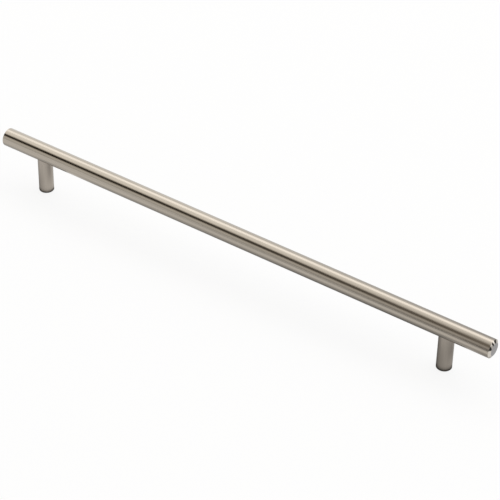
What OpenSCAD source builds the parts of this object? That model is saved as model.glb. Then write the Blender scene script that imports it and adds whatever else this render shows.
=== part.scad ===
// T bar cabinet pull: a solid round bar carried clear of the cabinet front by two turned posts.
// X runs along the bar and Z up through the posts. The feet stand on z = 0, centred on the origin.

/* [Bar] */
// Diameter of the bar
bar_d = 12; // [10:0.5:16]
// Length of bar that stands out past the centre of each post
overhang = 31.2; // [12:0.1:120]
// Width of the bevel at each end of the bar, measured across the end face
bar_bevel = 1.8; // [0.5:0.1:3]
// Angle between that bevel and the end face
bevel_angle = 30; // [15:1:60]
// Radius that softens the two edges of the bevel
bar_edge_r = 0.2; // [0.05:0.05:0.4]

/* [Posts] */
// Distance between the centres of the two posts
hole_centres = 300; // [64:1:1200]
// Height from the cabinet front to the top of the bar
projection = 35; // [33:0.5:80]
// Diameter of each post
post_d = 9.7; // [7:0.1:9.9]
// Width of the 45 degree chamfer round each foot
foot_chamfer = 0.3; // [0.1:0.1:1]
// Gap left for the plating between the saddle of a post and the bar
seat_gap = 0.02; // [0:0.01:0.1]

/* [Screw holes] */
// Core diameter of the tapped hole in each foot, 3.3 for an M4 thread
foot_core_d = 3.3; // [2.9:0.1:3.6]
// Diameter of the thread in each foot
foot_thread_d = 4; // [3.6:0.1:5]
// How far the countersink in each foot opens past the radius of the thread
countersink_lip = 0.25; // [0.1:0.05:0.5]
// Depth of full bore in each foot for the mounting screw
foot_hole_depth = 12; // [6:0.5:14]
// Included angle of the drill point at the bottom of every hole
drill_angle = 118; // [90:1:140]

/* [Joining studs] */
// Core diameter of the tapped holes that a stud holds in, 4.2 for an M5 thread
stud_core_d = 4.2; // [3.4:0.1:4.6]
// Length of stud held in the bar
stud_in_bar = 5; // [3:0.5:6]
// Length of stud held in the post
stud_in_post = 5; // [3:0.5:6]
// Depth that each stud hole is bored past the end of its stud
stud_hole_spare = 0.6; // [0.2:0.1:1]
// Radial clearance round the stud
stud_clearance = 0.05; // [0.02:0.01:0.15]
// Width of the chamfer at both ends of a stud
stud_chamfer = 0.5; // [0.1:0.1:0.7]
// Width across the flats of the key socket in the lower end of a stud
key_af = 2.5; // [1.5:0.1:2.5]
// Depth of the key socket
key_depth = 2.2; // [1:0.1:3]

/* [Hidden] */
$fn = 96;
bar_r = bar_d / 2;
bar_length = hole_centres + 2 * overhang;
axis_z = projection - bar_r;
bar_under_z = axis_z - bar_r;
post_r = post_d / 2;
post_x = hole_centres / 2;
foot_core_r = foot_core_d / 2;
countersink_r = foot_thread_d / 2 + countersink_lip;
stud_core_r = stud_core_d / 2;
stud_r = stud_core_r - stud_clearance;
stud_length = stud_in_bar + stud_in_post;
key_r = key_af / 2 / cos(30);
// Number of steps in each rounded edge of the bevel
edge_steps = 5;
// A cutter starts this far outside the face it cuts
over = 1;
satin_nickel = [0.68, 0.65, 0.6];
stud_steel = [0.55, 0.56, 0.58];

// Points of an edge of the bevel, rounded about (x, y) between two angles from the bar's radius
function edge_arc(x, y, from, to) = [
    for (i = [0:edge_steps])
        let (a = from + (to - from) * i / edge_steps)
            [x + bar_edge_r * cos(a), y + bar_edge_r * sin(a)]
];

// Half outline of the bar on the revolve's own axis, with its end bevelled
module bar_outline() {
    half = bar_length / 2;
    turn = 90 - bevel_angle;
    outer_y = half - bar_bevel * tan(bevel_angle) - bar_edge_r * tan(turn / 2);
    inner_x = bar_r - bar_bevel - bar_edge_r * tan(bevel_angle / 2);
    polygon(concat(
        [[0, 0], [bar_r, 0]],
        edge_arc(bar_r - bar_edge_r, outer_y, 0, turn),
        edge_arc(inner_x, half - bar_edge_r, turn, 90),
        [[0, half]]
    ));
}

// Blind drilled hole that opens at z = 0 and goes up, with a countersunk mouth of radius mouth_r
module blind_hole(r, depth, mouth_r) {
    tip = r / tan(drill_angle / 2);
    rotate_extrude()
        polygon([
            [0, -over],
            [mouth_r, -over],
            [mouth_r, 0],
            [r, mouth_r - r],
            [r, depth],
            [0, depth + tip]
        ]);
}

// Hole for a joining stud, from the underside of the bar up into it
module stud_hole_up() {
    translate([0, 0, bar_under_z])
        blind_hole(stud_core_r, stud_in_bar + stud_hole_spare, stud_core_r);
}

// The other half of that hole, from the saddle down into the post
module stud_hole_down() {
    translate([0, 0, bar_under_z])
        mirror([0, 0, 1])
            blind_hole(stud_core_r, stud_in_post + stud_hole_spare, stud_core_r);
}

module bar() {
    color(satin_nickel)
        difference() {
            translate([0, 0, axis_z])
                rotate([0, 90, 0])
                    union() {
                        rotate_extrude() bar_outline();
                        mirror([0, 0, 1]) rotate_extrude() bar_outline();
                    }
            for (side = [-1, 1])
                translate([side * post_x, 0, 0]) stud_hole_up();
        }
}

// Turned post on its own axis, coped at the top to seat round the bar
module post() {
    color(satin_nickel)
        difference() {
            rotate_extrude()
                polygon([
                    [0, 0],
                    [post_r - foot_chamfer, 0],
                    [post_r, foot_chamfer],
                    [post_r, axis_z],
                    [0, axis_z]
                ]);
            translate([0, 0, axis_z])
                rotate([0, 90, 0])
                    cylinder(r = bar_r + seat_gap, h = post_d + 2 * over, center = true);
            blind_hole(foot_core_r, foot_hole_depth, countersink_r);
            stud_hole_down();
        }
}

// Headless stud with a key socket in its lower end, half in the bar and half in the post
module stud() {
    color(stud_steel)
        translate([0, 0, bar_under_z - stud_in_post])
            difference() {
                rotate_extrude()
                    polygon([
                        [0, 0],
                        [stud_r - stud_chamfer, 0],
                        [stud_r, stud_chamfer],
                        [stud_r, stud_length - stud_chamfer],
                        [stud_r - stud_chamfer, stud_length],
                        [0, stud_length]
                    ]);
                translate([0, 0, -over])
                    cylinder(r = key_r, h = over + key_depth, $fn = 6);
            }
}

module post_left() {
    translate([-post_x, 0, 0]) post();
}

module post_right() {
    translate([post_x, 0, 0]) post();
}

module stud_left() {
    translate([-post_x, 0, 0]) stud();
}

module stud_right() {
    translate([post_x, 0, 0]) stud();
}

bar();
post_left();
post_right();
stud_left();
stud_right();
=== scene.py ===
"""T bar cabinet pull in satin nickel, standing on its two feet on a white studio floor."""
import math

import bmesh
import bpy
from mathutils import Matrix, Vector


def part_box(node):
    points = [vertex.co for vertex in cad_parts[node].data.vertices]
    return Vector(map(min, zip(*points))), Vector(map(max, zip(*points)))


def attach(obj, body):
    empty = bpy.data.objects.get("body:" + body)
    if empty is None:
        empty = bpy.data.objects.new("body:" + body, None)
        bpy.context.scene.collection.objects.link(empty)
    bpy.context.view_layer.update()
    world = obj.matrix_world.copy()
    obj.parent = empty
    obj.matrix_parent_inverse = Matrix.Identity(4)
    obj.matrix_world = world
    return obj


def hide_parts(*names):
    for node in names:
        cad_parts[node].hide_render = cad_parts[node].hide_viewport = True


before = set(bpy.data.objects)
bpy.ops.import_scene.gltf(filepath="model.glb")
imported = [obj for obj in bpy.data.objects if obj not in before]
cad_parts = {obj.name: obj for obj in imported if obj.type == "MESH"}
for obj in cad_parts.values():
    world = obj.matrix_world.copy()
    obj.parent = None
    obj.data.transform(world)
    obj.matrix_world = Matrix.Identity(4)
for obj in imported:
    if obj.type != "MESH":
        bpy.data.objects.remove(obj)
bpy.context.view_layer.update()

MM = 0.001

# Sizes read from the frame
BAR_LOW, BAR_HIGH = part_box("bar")
POST_LOW, POST_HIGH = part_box("post_right")
BAR_R = (BAR_HIGH.z - BAR_LOW.z) / 2
BAR_HALF = (BAR_HIGH.x - BAR_LOW.x) / 2
AXIS_Z = (BAR_HIGH.z + BAR_LOW.z) / 2
POST_X = (POST_HIGH.x + POST_LOW.x) / 2
POST_R = (POST_HIGH.x - POST_LOW.x) / 2

# Details of the turned parts, the same as in the solids
BAR_BEVEL = 1.8 * MM
BEVEL_ANGLE = 30
BAR_EDGE_R = 0.2 * MM
FOOT_CHAMFER = 0.3 * MM
FOOT_EDGE_R = 0.06 * MM
SEAT_GAP = 0.02 * MM
DRILL_HALF_ANGLE = 59
FOOT_HOLE_R = 1.65 * MM
FOOT_HOLE_DEPTH = 12 * MM
COUNTERSINK_R = 2.25 * MM
STUD_R = 2.05 * MM
STUD_HALF = 5 * MM
STUD_CHAMFER = 0.5 * MM
STUD_HOLE_DEPTH = 5.6 * MM

# Threads, which the solids leave out: radius of the groove's floor or the crest, and pitch
FOOT_THREAD_R = 2.0 * MM
FOOT_PITCH = 0.7 * MM
STUD_THREAD_R = 2.45 * MM
STUD_PITCH = 0.8 * MM
STUD_HOLE_R = 2.5 * MM
THREAD_SINK = 0.03 * MM
THREAD_STEPS = 40

BAR_SIDES = 160
POST_SIDES = 96
ARC_STEPS = 4

# Where each finish stands in a turned part's list of materials
BRUSHED, POLISHED, TURNED, BORED = range(4)

# The photograph's view: angles in degrees, lengths in metres
VIEW_AZIMUTH = 33.947
VIEW_ELEVATION = 38.279
VIEW_ROLL = 1.103
VIEW_DISTANCE = 1.27992
VIEW_AIM = (0.008701, 0.008429)
SENSOR_WIDTH = 36
FOCAL_LENGTH = 150.52


class Signal:
    """An output socket. A sum written on it in Python adds its Math nodes to the tree."""

    def __init__(self, tree, socket):
        self.tree = tree
        self.socket = socket

    def math(self, operation, *values):
        inputs = dict(enumerate(values))
        return self.tree.add("ShaderNodeMath", {"operation": operation}, inputs)

    def __add__(self, other):
        return self.math("ADD", self, other)

    def __radd__(self, other):
        return self.math("ADD", other, self)

    def __sub__(self, other):
        return self.math("SUBTRACT", self, other)

    def __rsub__(self, other):
        return self.math("SUBTRACT", other, self)

    def __mul__(self, other):
        return self.math("MULTIPLY", self, other)

    def __rmul__(self, other):
        return self.math("MULTIPLY", other, self)

    def __truediv__(self, other):
        return self.math("DIVIDE", self, other)

    def __neg__(self):
        return self.math("MULTIPLY", self, -1.0)


class Tree:
    """A node tree. add() makes any node: its settings first, then the values or links of its sockets."""

    def __init__(self, node_tree):
        self.nodes = node_tree.nodes
        self.links = node_tree.links

    def add(self, kind, settings=None, inputs=None, output=0):
        node = self.nodes.new(kind)
        for name, value in (settings or {}).items():
            if name == "stops":
                set_stops(node.color_ramp, value)
            else:
                setattr(node, name, value)
        for key, value in (inputs or {}).items():
            if isinstance(value, Signal):
                self.links.new(value.socket, node.inputs[key])
            else:
                node.inputs[key].default_value = value
        return Signal(self, node.outputs[output]) if len(node.outputs) else None

    def mix(self, factor, low, high):
        """Colour between low and high."""
        return self.add("ShaderNodeMix", {"data_type": "RGBA"}, {0: factor, 6: low, 7: high}, 2)

    def ramp(self, value, low, high):
        """Smooth step from 0 at low to 1 at high."""
        inputs = {"Value": value, "From Min": low, "From Max": high}
        return self.add("ShaderNodeMapRange", {"interpolation_type": "SMOOTHSTEP"}, inputs)

    def noise(self, place, scale, detail=2.0, roughness=0.5):
        """Noise stretched by three scales, in cycles per metre. Its mean is about 0.5."""
        stretched = self.add("ShaderNodeMapping", None, {"Vector": place, "Scale": scale})
        inputs = {"Vector": stretched, "Scale": 1.0, "Detail": detail, "Roughness": roughness}
        return self.add("ShaderNodeTexNoise", {"noise_dimensions": "3D"}, inputs)


def set_stops(ramp, stops):
    """Replaces a ramp's stops by (place, colour) pairs."""
    while len(ramp.elements) > 1:
        ramp.elements.remove(ramp.elements[-1])
    for index, (place, color) in enumerate(stops):
        element = ramp.elements[0] if index == 0 else ramp.elements.new(place)
        element.position = place
        element.color = (*color, 1.0)


def dimmed(stops):
    """A ramp holds colours up to 1, so the tent's are divided by its scale."""
    return [(place, [c * TENT_LEVEL / TENT_SCALE for c in color]) for place, color in stops]


def new_material(name):
    material = bpy.data.materials.new(name)
    material.use_nodes = True
    material.node_tree.nodes.clear()
    return material, Tree(material.node_tree)


def metal(name, color, shade, rough, bump, bump_depth):
    """Bare or plated metal. shade, rough and bump each write one value's nodes from Object coordinates."""
    material, tree = new_material(name)
    place = tree.add("ShaderNodeTexCoord", None, None, "Object")
    dark = [0.75 * c for c in color] + [1.0]
    bright = [1.25 * c for c in color] + [1.0]
    relief = {"Strength": 1.0, "Distance": bump_depth, "Height": bump(tree, place)}
    inputs = {
        "Base Color": tree.mix(shade(tree, place), dark, bright),
        "Metallic": 1.0,
        "Roughness": rough(tree, place),
        "Normal": tree.add("ShaderNodeBump", None, relief),
    }
    surface = tree.add("ShaderNodeBsdfPrincipled", None, inputs)
    tree.add("ShaderNodeOutputMaterial", None, {"Surface": surface})
    return material


def streaks(tree, place, along, length, width):
    """Hairlines that run along one axis."""
    scale = [1 / width] * 3
    scale[along] = 1 / length
    return tree.noise(place, scale, 3.0, 0.65)


def brushed_nickel(name, color, along, gloss):
    """Satin plate of least roughness gloss, with hairlines along one axis in a fine and a broad layer."""

    def shade(tree, place):
        fine = streaks(tree, place, along, 30 * MM, 0.35 * MM)
        broad = streaks(tree, place, along, 90 * MM, 2.2 * MM)
        return 0.5 + (fine - 0.5) * 0.5 + (broad - 0.5) * 0.35

    def rough(tree, place):
        return gloss + streaks(tree, place, along, 40 * MM, 0.5 * MM) * 0.06

    def bump(tree, place):
        return streaks(tree, place, along, 24 * MM, 0.22 * MM)

    return metal(name, color, shade, rough, bump, 0.006 * MM)


def polished_nickel(name, color):
    """Bright band left by the chamfering tool."""

    def shade(tree, place):
        return 0.35 + tree.noise(place, [400, 400, 400]) * 0.3

    def rough(tree, place):
        return 0.02 + tree.noise(place, [900, 900, 900]) * 0.04

    def bump(tree, place):
        return tree.noise(place, [3000, 3000, 3000], 1.0)

    return metal(name, color, shade, rough, bump, 0.001 * MM)


def turned_nickel(name, color, centre, across):
    """Flat face with the fine rings of the lathe round its centre. across masks out the axis of turning."""

    def ring_noise(tree, place, spacing):
        inputs = {0: place, 1: centre}
        offset = tree.add("ShaderNodeVectorMath", {"operation": "SUBTRACT"}, inputs)
        flat = tree.add("ShaderNodeVectorMath", {"operation": "MULTIPLY"}, {0: offset, 1: across})
        radius = tree.add("ShaderNodeVectorMath", {"operation": "LENGTH"}, {0: flat}, "Value")
        inputs = {"W": radius / spacing, "Scale": 1.0, "Detail": 2.0}
        return tree.add("ShaderNodeTexNoise", {"noise_dimensions": "1D"}, inputs)

    def shade(tree, place):
        return 0.1 + ring_noise(tree, place, 0.3 * MM) * 0.8

    def rough(tree, place):
        return 0.2 + tree.noise(place, [1200, 1200, 1200]) * 0.1

    def bump(tree, place):
        return ring_noise(tree, place, 0.12 * MM)

    return metal(name, color, shade, rough, bump, 0.004 * MM)


def arc(centre, radius, start, end):
    """Points (across, along) of a round edge, by angles in degrees from the radial direction."""
    points = []
    for step in range(ARC_STEPS + 1):
        angle = math.radians(start + (end - start) * step / ARC_STEPS)
        points.append((centre[0] + radius * math.cos(angle), centre[1] + radius * math.sin(angle)))
    return points


def bevelled_end(radius, width, angle, edge_r, face):
    """Outline (radius, place along the axis) of a bevel with round edges, from the side to the face.

    The width is measured across the face, and the angle lies between bevel and face.
    """
    turn = 90 - angle
    outer_slack, inner_slack = (edge_r * math.tan(math.radians(bend / 2)) for bend in (turn, angle))
    depth = width * math.tan(math.radians(angle))
    outer = arc((radius - edge_r, face - depth - outer_slack), edge_r, 0, turn)
    inner = arc((radius - width - inner_slack, face - edge_r), edge_r, turn, 90)
    return outer + inner


def skin(name, rings, finish, materials):
    """Closed mesh over rings of equal count, each end closed on its middle. finish(face) picks a material."""
    mesh = bmesh.new()
    loops = [[mesh.verts.new(point) for point in ring] for ring in rings]
    count = len(loops[0])
    for lower, upper in zip(loops, loops[1:]):
        for i in range(count):
            j = (i + 1) % count
            mesh.faces.new((lower[i], lower[j], upper[j], upper[i]))
    for loop in (loops[0], loops[-1]):
        middle = mesh.verts.new(sum((v.co for v in loop), Vector()) / count)
        for i in range(count):
            mesh.faces.new((loop[i], loop[(i + 1) % count], middle))
    bmesh.ops.recalc_face_normals(mesh, faces=mesh.faces)
    mesh.normal_update()
    for face in mesh.faces:
        face.smooth = True
        face.material_index = finish(face)
    data = bpy.data.meshes.new(name)
    mesh.to_mesh(data)
    mesh.free()
    data.set_sharp_from_angle(angle=math.radians(32))
    for material in materials:
        data.materials.append(material)
    piece = bpy.data.objects.new(name, data)
    bpy.context.scene.collection.objects.link(piece)
    return piece


def bar_ring(x, radius):
    turns = [2 * math.pi * (i + 0.5) / BAR_SIDES for i in range(BAR_SIDES)]
    return [(x, radius * math.cos(t), AXIS_Z + radius * math.sin(t)) for t in turns]


def bored(piece, cutters):
    """Cuts closed meshes out of a piece."""
    for cutter in cutters:
        cut = piece.modifiers.new("bore", "BOOLEAN")
        cut.operation = "DIFFERENCE"
        cut.solver = "EXACT"
        cut.material_mode = "TRANSFER"
        cut.object = cutter
    data = bpy.data.meshes.new_from_object(piece.evaluated_get(bpy.context.evaluated_depsgraph_get()))
    piece.modifiers.clear()
    piece.data = data
    for cutter in cutters:
        bpy.data.objects.remove(cutter)
    return piece


def bar_finish(face):
    if abs(face.normal.x) > 0.99:
        return TURNED
    if abs(face.calc_center_median().x) > BAR_HALF - BAR_BEVEL * math.tan(math.radians(BEVEL_ANGLE)):
        return POLISHED
    return BRUSHED


def make_bar(materials):
    """Solid bar, turned to a bevel at both ends."""
    stations = [(BAR_R, POST_X - 2 * POST_R), (BAR_R, POST_X + 2 * POST_R)]
    half = stations + bevelled_end(BAR_R, BAR_BEVEL, BEVEL_ANGLE, BAR_EDGE_R, BAR_HALF)
    rings = [bar_ring(-x, r) for r, x in reversed(half)] + [bar_ring(x, r) for r, x in half]
    bar = skin("turned_bar", rings, bar_finish, materials)
    return bored(bar, [stud_drill(side * POST_X, materials[BORED]) for side in (-1, 1)])


def stud_drill(centre_x, material):
    """Cutter for the blind hole in the bar's underside that takes the joining stud."""
    top = AXIS_Z - BAR_R + STUD_HOLE_DEPTH
    tip = STUD_HOLE_R / math.tan(math.radians(DRILL_HALF_ANGLE))
    sizes = [(STUD_HOLE_R, AXIS_Z - BAR_R - MM), (STUD_HOLE_R, top), (STUD_HOLE_R * 0.02, top + tip)]
    rings = [post_ring(centre_x, r, z) for r, z in sizes]
    return skin("stud_drill", rings, lambda face: 0, [material])


def post_ring(centre_x, radius, height):
    """Ring round a post. Its height is a number, or a function of the distance from the bar's own plane."""
    points = []
    for i in range(POST_SIDES):
        turn = 2 * math.pi * i / POST_SIDES
        y = radius * math.sin(turn)
        z = height(y) if callable(height) else height
        points.append((centre_x + radius * math.cos(turn), y, z))
    return points


def saddle(y):
    """Height of the coped seat, which follows the bar's underside."""
    return AXIS_Z - math.sqrt((BAR_R + SEAT_GAP) ** 2 - y * y)


def post_finish(face):
    centre = face.calc_center_median()
    from_axis = math.hypot(abs(centre.x) - POST_X, centre.y)
    if from_axis < COUNTERSINK_R and centre.z < FOOT_HOLE_DEPTH * 1.2:
        return BORED
    if face.normal.z < -0.99:
        return TURNED
    return POLISHED if centre.z < FOOT_CHAMFER else BRUSHED


def make_post(name, centre_x, materials):
    """Turned post, tapped at the foot and coped at the top round a stud hole."""
    tip = FOOT_HOLE_R / math.tan(math.radians(DRILL_HALF_ANGLE))
    thread_end = FOOT_HOLE_DEPTH - 2 * (FOOT_THREAD_R - FOOT_HOLE_R)
    stud_floor = AXIS_Z - BAR_R - STUD_HOLE_DEPTH
    foot = bevelled_end(POST_R, FOOT_CHAMFER, 45, FOOT_EDGE_R, 0.0)
    sizes = [(FOOT_HOLE_R * 0.02, FOOT_HOLE_DEPTH + tip), (FOOT_HOLE_R, FOOT_HOLE_DEPTH)]
    sizes += [(FOOT_HOLE_R, thread_end + FOOT_THREAD_R - FOOT_HOLE_R), (FOOT_THREAD_R, thread_end)]
    sizes += [(FOOT_THREAD_R, COUNTERSINK_R - FOOT_THREAD_R), (COUNTERSINK_R, 0.0)]
    sizes += [(r, -z) for r, z in reversed(foot)]
    sizes += [(POST_R, saddle), (STUD_HOLE_R, saddle), (STUD_HOLE_R, stud_floor)]
    rings = [post_ring(centre_x, r, z) for r, z in sizes]
    return skin(name, rings, post_finish, materials)


THREAD_INPUTS = {
    "Radius": "NodeSocketFloat",
    "Crest": "NodeSocketFloat",
    "Pitch": "NodeSocketFloat",
    "Length": "NodeSocketFloat",
    "Inward": "NodeSocketFloat",
    "Finish": "NodeSocketMaterial",
}


def thread_tree():
    """Geometry Nodes for a right hand thread: one ridge of 60 degree form that fades out at both ends."""
    group = bpy.data.node_groups.new("thread", "GeometryNodeTree")
    for name, kind in THREAD_INPUTS.items():
        group.interface.new_socket(name, in_out="INPUT", socket_type=kind)
    group.interface.new_socket("Ridge", in_out="OUTPUT", socket_type="NodeSocketGeometry")
    tree = Tree(group)
    size = {name: tree.add("NodeGroupInput", None, None, name) for name in THREAD_INPUTS}
    turns = size["Length"] / size["Pitch"]
    spiral = {"Resolution": THREAD_STEPS, "Rotations": turns, "Height": size["Length"], "Reverse": True}
    spiral.update({"Start Radius": size["Radius"], "End Radius": size["Radius"]})
    helix = tree.add("GeometryNodeCurveSpiral", None, spiral)
    helix = tree.add("GeometryNodeSetCurveNormal", {"mode": "Z_UP"}, {"Curve": helix})
    corners = {}
    for index, (depth, width) in enumerate(((0, -0.43), (1, -0.07), (1, 0.07), (0, 0.43))):
        reach = size["Crest"] if depth else -THREAD_SINK
        corner = tree.add("ShaderNodeCombineXYZ", None, {"X": size["Inward"] * reach, "Y": size["Inward"] * size["Pitch"] * width})
        corners["Point %d" % (index + 1)] = corner
    form = tree.add("GeometryNodeCurvePrimitiveQuadrilateral", {"mode": "POINTS"}, corners)
    along = tree.add("GeometryNodeSplineParameter", None, None, "Factor")
    fade = along.math("MINIMUM", along, 1 - along) * turns * 1.5 + 0.02
    sweep = {"Curve": helix, "Profile Curve": form, "Scale": fade.math("MINIMUM", fade, 1.0), "Fill Caps": True}
    ridge = tree.add("GeometryNodeCurveToMesh", None, sweep)
    ridge = tree.add("GeometryNodeRealizeInstances", None, {"Geometry": ridge})
    ridge = tree.add("GeometryNodeSetMaterial", None, {"Geometry": ridge, "Material": size["Finish"]})
    tree.add("NodeGroupOutput", None, {"Ridge": ridge})
    return group


def make_thread(name, group, base, sizes):
    """Runs the thread's nodes once and keeps the plain mesh."""
    piece = bpy.data.objects.new(name, bpy.data.meshes.new(name))
    bpy.context.scene.collection.objects.link(piece)
    cut = piece.modifiers.new("thread", "NODES")
    cut.node_group = group
    for socket in group.interface.items_tree:
        if socket.in_out == "INPUT":
            cut[socket.identifier] = sizes[socket.name]
    data = bpy.data.meshes.new_from_object(piece.evaluated_get(bpy.context.evaluated_depsgraph_get()))
    piece.modifiers.clear()
    data.transform(Matrix.Translation(base))
    data.shade_smooth()
    data.set_sharp_from_angle(angle=math.radians(25))
    piece.data = data
    return piece


def foot_thread(word, group, centre_x, finish):
    start = COUNTERSINK_R - FOOT_HOLE_R
    length = FOOT_HOLE_DEPTH - 2 * (FOOT_THREAD_R - FOOT_HOLE_R) - start
    sizes = {"Radius": FOOT_THREAD_R, "Crest": FOOT_THREAD_R - FOOT_HOLE_R, "Pitch": FOOT_PITCH}
    sizes.update({"Length": length, "Inward": 1.0, "Finish": finish})
    return make_thread("foot_thread_" + word, group, Vector((centre_x, 0, start)), sizes)


def stud_thread(word, group, centre_x, finish):
    start = AXIS_Z - BAR_R - STUD_HALF + STUD_CHAMFER + STUD_PITCH / 2
    length = 2 * (STUD_HALF - STUD_CHAMFER) - STUD_PITCH
    sizes = {"Radius": STUD_R, "Crest": STUD_THREAD_R - STUD_R, "Pitch": STUD_PITCH}
    sizes.update({"Length": length, "Inward": -1.0, "Finish": finish})
    return make_thread("stud_thread_" + word, group, Vector((centre_x, 0, start)), sizes)


def add_piece(piece, node=None):
    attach(piece, "root")
    if node:
        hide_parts(node)


def make_pull():
    nickel = (0.42, 0.376, 0.32)
    post_nickel = (0.425, 0.38, 0.328)
    bar_centre = (0, 0, AXIS_Z)
    polished = polished_nickel("polished_nickel", (0.59, 0.55, 0.49))
    steel = turned_nickel("bright_steel", (0.42, 0.41, 0.39), bar_centre, (0, 0, 1))
    bar_face = turned_nickel("turned_bar_face", (0.265, 0.255, 0.25), bar_centre, (0, 1, 1))
    bar_metals = [brushed_nickel("brushed_nickel_bar", nickel, 0, 0.13), polished, bar_face, steel]
    add_piece(make_bar(bar_metals), "bar")
    thread = thread_tree()
    for side, word in ((-1, "left"), (1, "right")):
        centre_x = side * POST_X
        face = turned_nickel("turned_foot_" + word, post_nickel, (centre_x, 0, 0), (1, 1, 0))
        grain = brushed_nickel("brushed_nickel_post_" + word, post_nickel, 2, 0.36)
        post = make_post("turned_post_" + word, centre_x, [grain, polished, face, steel])
        add_piece(post, "post_" + word)
        add_piece(foot_thread(word, thread, centre_x, steel))
        add_piece(stud_thread(word, thread, centre_x, steel))
        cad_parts["stud_" + word].material_slots[0].material = steel


# How much of the paper's own white shows to the camera, and of its glow with painted shade in reflections, over the
# light that falls on it
CAMERA_GLOW = 0.85
MIRROR_GLOW = 0.95
FLOOR_SIZE = 40.0
# How far the paper round each foot turns to one painted grey, which only reflections see
NEAR_FOOT = 0.8

# Greys level with the paper past each end of the bar, by angle in degrees from the bar's line to the back. On the
# paper they are painted dark and bright patches that only reflections see, painting the glints on the bar's bevels;
# in the world they light the room past the ends.
PAST_LEFT = [(-90, 1.0), (-34, 1.0), (-24, 0.35), (22, 0.35), (32, 1.0), (90, 1.0)]
PAST_RIGHT = [
    (-90, 0.0), (-38, 0.0), (-28, 0.35), (-9, 0.35), (-4, 0.0), (5, 0.0), (8, 0.45), (11, 0.6), (19.5, 0.6),
    (21.5, 0.0), (32.5, 0.0), (34.5, 1.0), (42.5, 1.0), (44.5, 0.0), (70, 0.0), (79, 0.3), (90, 0.5),
]
PAST_GLOW = 0.8


def past_ends(tree, x, y, start):
    """Greys past the left and the right end, on lines that fan out from each side's start."""
    turn = y.math("ARCTAN2", y, x.math("ABSOLUTE", x) - start) / math.pi + 0.5
    ramps = []
    for greys in (PAST_LEFT, PAST_RIGHT):
        stops = [((angle + 90) / 180, [grey] * 3) for angle, grey in greys]
        ramps.append(tree.add("ShaderNodeValToRGB", {"stops": stops}, {0: turn}))
    return ramps


def painted_paper_shade(tree):
    """Painted shade of the paper under the bar and round the feet, where reflections in the pull meet it; it stands
    in for shadow there.
    """
    place = tree.add("ShaderNodeTexCoord", None, None, "Object")
    x, y = (tree.add("ShaderNodeSeparateXYZ", None, {0: place}, axis) for axis in "XY")
    # Painted shade under the bar, beneath its axis, and in front of and behind it, deeper towards the right
    across = tree.ramp(x, -0.3, 0.15)
    covered = 1 - tree.ramp(x, 168 * MM, 200 * MM)
    reach = 34 * MM + across * (20 * MM)
    under = (0.36 + 0.38 * across) * (1 - tree.ramp(y.math("ABSOLUTE", y), 0.0, reach)) * covered
    beneath = 1 - tree.ramp(y.math("ABSOLUTE", y - 5 * MM), 3 * MM, 16 * MM)
    core = (0.08 + 0.25 * across + 0.2 * tree.ramp(x, 0.06, 0.15)) * beneath * covered
    ahead = (0.28 + 0.47 * across) * (1 - tree.ramp(y, -0.3, -0.04))
    behind = (0.04 + 0.3 * across) * tree.ramp(y, 0.01, 0.09)
    shade = (1 - under) * (1 - core) * (1 - ahead) * (1 - behind)
    # Round each foot: one painted grey, lighter to the right of the foot and darker at the right foot, a painted dark
    # seam along the bar on its left, and a painted dark ring of contact shadow, all seen only in reflections
    for side, grey in ((-1, 0.85), (1, 0.62)):
        feet = {0: place, 1: (side * POST_X, 0, 0)}
        distance = tree.add("ShaderNodeVectorMath", {"operation": "DISTANCE"}, feet, "Value")
        near = (1 - tree.ramp(distance, 8 * MM, 33 * MM)) * NEAR_FOOT
        beside = (1 - tree.ramp(distance, 10 * MM, 22 * MM)) * (1 - tree.ramp(x - side * POST_X, -6 * MM, 1 * MM))
        painted_seam_shade = 0.6 * beside * (1 - tree.ramp(y.math("ABSOLUTE", y), 2 * MM, 9 * MM))
        lit = grey * (0.62 + 0.68 * tree.ramp(x - side * POST_X, -14 * MM, 12 * MM))
        shade = shade + near * (lit - shade)
        shade = shade * (1 - painted_seam_shade) * tree.ramp(distance, POST_R + 0.8 * MM, POST_R + 3.2 * MM)
    # Painted dark and bright patches past each end of the bar, seen only in reflections, which paint the glints and
    # dark spots on the bevels
    left, right = past_ends(tree, x, y, BAR_HALF)
    shade = tree.mix(tree.ramp(-x, BAR_HALF + 15 * MM, BAR_HALF + 40 * MM), shade, left)
    return tree.mix(tree.ramp(x, BAR_HALF + 62 * MM, BAR_HALF + 85 * MM), shade, right)


def floor_material():
    """White paper. Straight rays see its own white over a faint shadow; reflections see its glow darkened by painted
    shade.
    """
    material, tree = new_material("studio_paper")
    place = tree.add("ShaderNodeTexCoord", None, None, "Object")
    grain = tree.noise(place, [900, 900, 900], 3.0)
    tint = tree.mix(grain, [0.9, 0.9, 0.9, 1.0], [0.94, 0.94, 0.94, 1.0])
    paper = tree.add("ShaderNodeBsdfDiffuse", None, {"Color": tint})
    camera, glossy, through = (
        tree.add("ShaderNodeLightPath", None, None, "Is %s Ray" % ray) for ray in ("Camera", "Glossy", "Transmission")
    )
    white = [1.0, 1.0, 1.0, 1.0]
    # Painted shade on the glow that reflections see; straight rays get plain white
    shaded = tree.mix(painted_paper_shade(tree), [0.0, 0.0, 0.0, 1.0], white)
    glow = tree.add("ShaderNodeEmission", None, {"Color": tree.mix(camera, shaded, white), "Strength": 1.0})
    seen = camera * CAMERA_GLOW + camera.math("MAXIMUM", glossy, through) * MIRROR_GLOW
    surface = tree.add("ShaderNodeMixShader", None, {0: seen, 1: paper, 2: glow})
    tree.add("ShaderNodeOutputMaterial", None, {"Surface": surface})
    return material


def make_floor():
    bpy.ops.mesh.primitive_plane_add(size=FLOOR_SIZE)
    floor = bpy.context.object
    floor.name = "studio_floor"
    floor.data.materials.append(floor_material())


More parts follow.
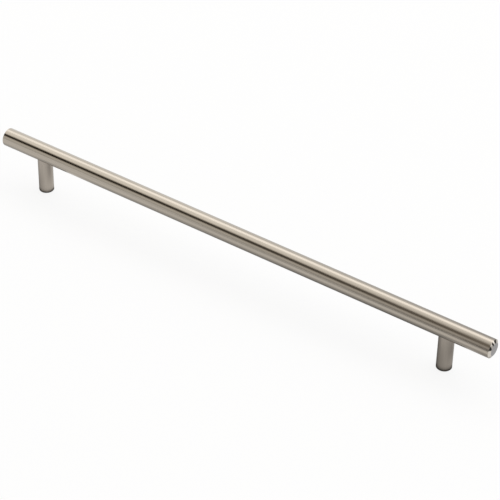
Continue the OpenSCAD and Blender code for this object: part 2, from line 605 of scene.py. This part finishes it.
# Colours of the tent by the angle up from its front, where 1 is the floor behind: (share of half a turn, colour)
TENT_LEFT = [
    (0.0, (0.7, 0.69, 0.67)), (0.12, (0.95, 0.94, 0.9)), (0.175, (0.84, 0.81, 0.75)), (0.22, (0.12, 0.1, 0.08)),
    (0.25, (0.015, 0.01, 0.004)), (0.32, (0.015, 0.01, 0.004)), (0.36, (0.6, 0.57, 0.52)),
    (0.4, (1.43, 1.4, 1.34)), (0.52, (1.52, 1.51, 1.48)), (0.72, (1.45, 1.45, 1.45)), (0.84, (1.25, 1.25, 1.24)),
    (1.0, (1.3, 1.3, 1.32)),
]
TENT_RIGHT = [
    (0.0, (0.16, 0.15, 0.14)), (0.08, (0.42, 0.4, 0.38)), (0.13, (0.62, 0.6, 0.57)), (0.18, (0.62, 0.6, 0.57)),
    (0.225, (0.31, 0.28, 0.25)), (0.3, (0.29, 0.26, 0.22)), (0.36, (0.39, 0.365, 0.33)), (0.4, (0.7, 0.68, 0.65)),
    (0.48, (1.1, 1.08, 1.05)), (0.58, (1.45, 1.43, 1.42)), (0.72, (1.41, 1.41, 1.41)), (0.78, (1.23, 1.23, 1.23)),
    (0.84, (0.9, 0.9, 0.92)), (0.95, (0.55, 0.55, 0.57)), (1.0, (0.46, 0.46, 0.48)),
]
TENT_SCALE = 2.0
TENT_LEVEL = 0.95


def make_world():
    """Light tent with a dark slot above its front panel. On the right it opens to a dark room with lit panels."""
    world = bpy.data.worlds.new("studio")
    world.use_nodes = True
    world.node_tree.nodes.clear()
    bpy.context.scene.world = world
    tree = Tree(world.node_tree)
    direction = tree.add("ShaderNodeTexCoord", None, None, "Generated")
    x, y, z = (tree.add("ShaderNodeSeparateXYZ", None, {0: direction}, axis) for axis in "XYZ")
    share = z.math("ARCTAN2", z, -y) / math.pi
    left = tree.add("ShaderNodeValToRGB", {"stops": dimmed(TENT_LEFT)}, {0: share})
    right = tree.add("ShaderNodeValToRGB", {"stops": dimmed(TENT_RIGHT)}, {0: share})
    tent = tree.mix(tree.ramp(x, -0.5, -0.28), left, right)
    past_left, past_right = past_ends(tree, x, y, 0.0)
    black = [0.0, 0.0, 0.0, 1.0]
    room = tree.mix(PAST_GLOW, black, past_right)
    shut = tree.mix(past_left, black, tent)
    low = 1 - tree.ramp(z, 0.1, 0.3)
    light = tree.mix(tree.ramp(-x, 0.85, 0.95) * low, tent, shut)
    light = tree.mix(tree.ramp(x, 0.0, 0.35) * low, light, room)
    background = tree.add("ShaderNodeBackground", None, {"Color": light, "Strength": TENT_SCALE})
    tree.add("ShaderNodeOutputWorld", None, {"Surface": background})


def make_softbox():
    """Long softbox above and behind the bar."""
    lamp = bpy.data.lights.new("softbox", "AREA")
    lamp.shape = "RECTANGLE"
    lamp.size = 3.0
    lamp.size_y = 0.6
    radiance = 0.66
    lamp.energy = radiance * math.pi * lamp.size * lamp.size_y
    box = bpy.data.objects.new("softbox", lamp)
    angle = math.radians(121)
    away = Vector((0, -math.cos(angle), math.sin(angle)))
    box.location = away * 1.2
    box.rotation_mode = "QUATERNION"
    box.rotation_quaternion = away.to_track_quat("Z", "Y")
    bpy.context.scene.collection.objects.link(box)


def make_camera():
    azimuth, elevation, roll = (math.radians(a) for a in (VIEW_AZIMUTH, VIEW_ELEVATION, VIEW_ROLL))
    back = Vector((
        math.sin(azimuth) * math.cos(elevation),
        -math.cos(azimuth) * math.cos(elevation),
        math.sin(elevation),
    ))
    level = Vector((math.cos(azimuth), math.sin(azimuth), 0))
    down = -back.cross(level)
    right = level * math.cos(roll) - down * math.sin(roll)
    lower = level * math.sin(roll) + down * math.cos(roll)
    data = bpy.data.cameras.new("camera")
    data.sensor_width = SENSOR_WIDTH
    data.lens = FOCAL_LENGTH
    data.clip_start = 0.05
    camera = bpy.data.objects.new("camera", data)
    aim = Vector((0, 0, AXIS_Z)) + right * VIEW_AIM[0] + lower * VIEW_AIM[1]
    turn = Matrix((right, -lower, back)).transposed()
    camera.matrix_world = Matrix.Translation(aim + back * VIEW_DISTANCE) @ turn.to_4x4()
    bpy.context.scene.collection.objects.link(camera)
    bpy.context.scene.camera = camera


make_camera()
make_world()
make_softbox()
make_floor()
make_pull()
bpy.context.scene.view_settings.view_transform = "Standard"
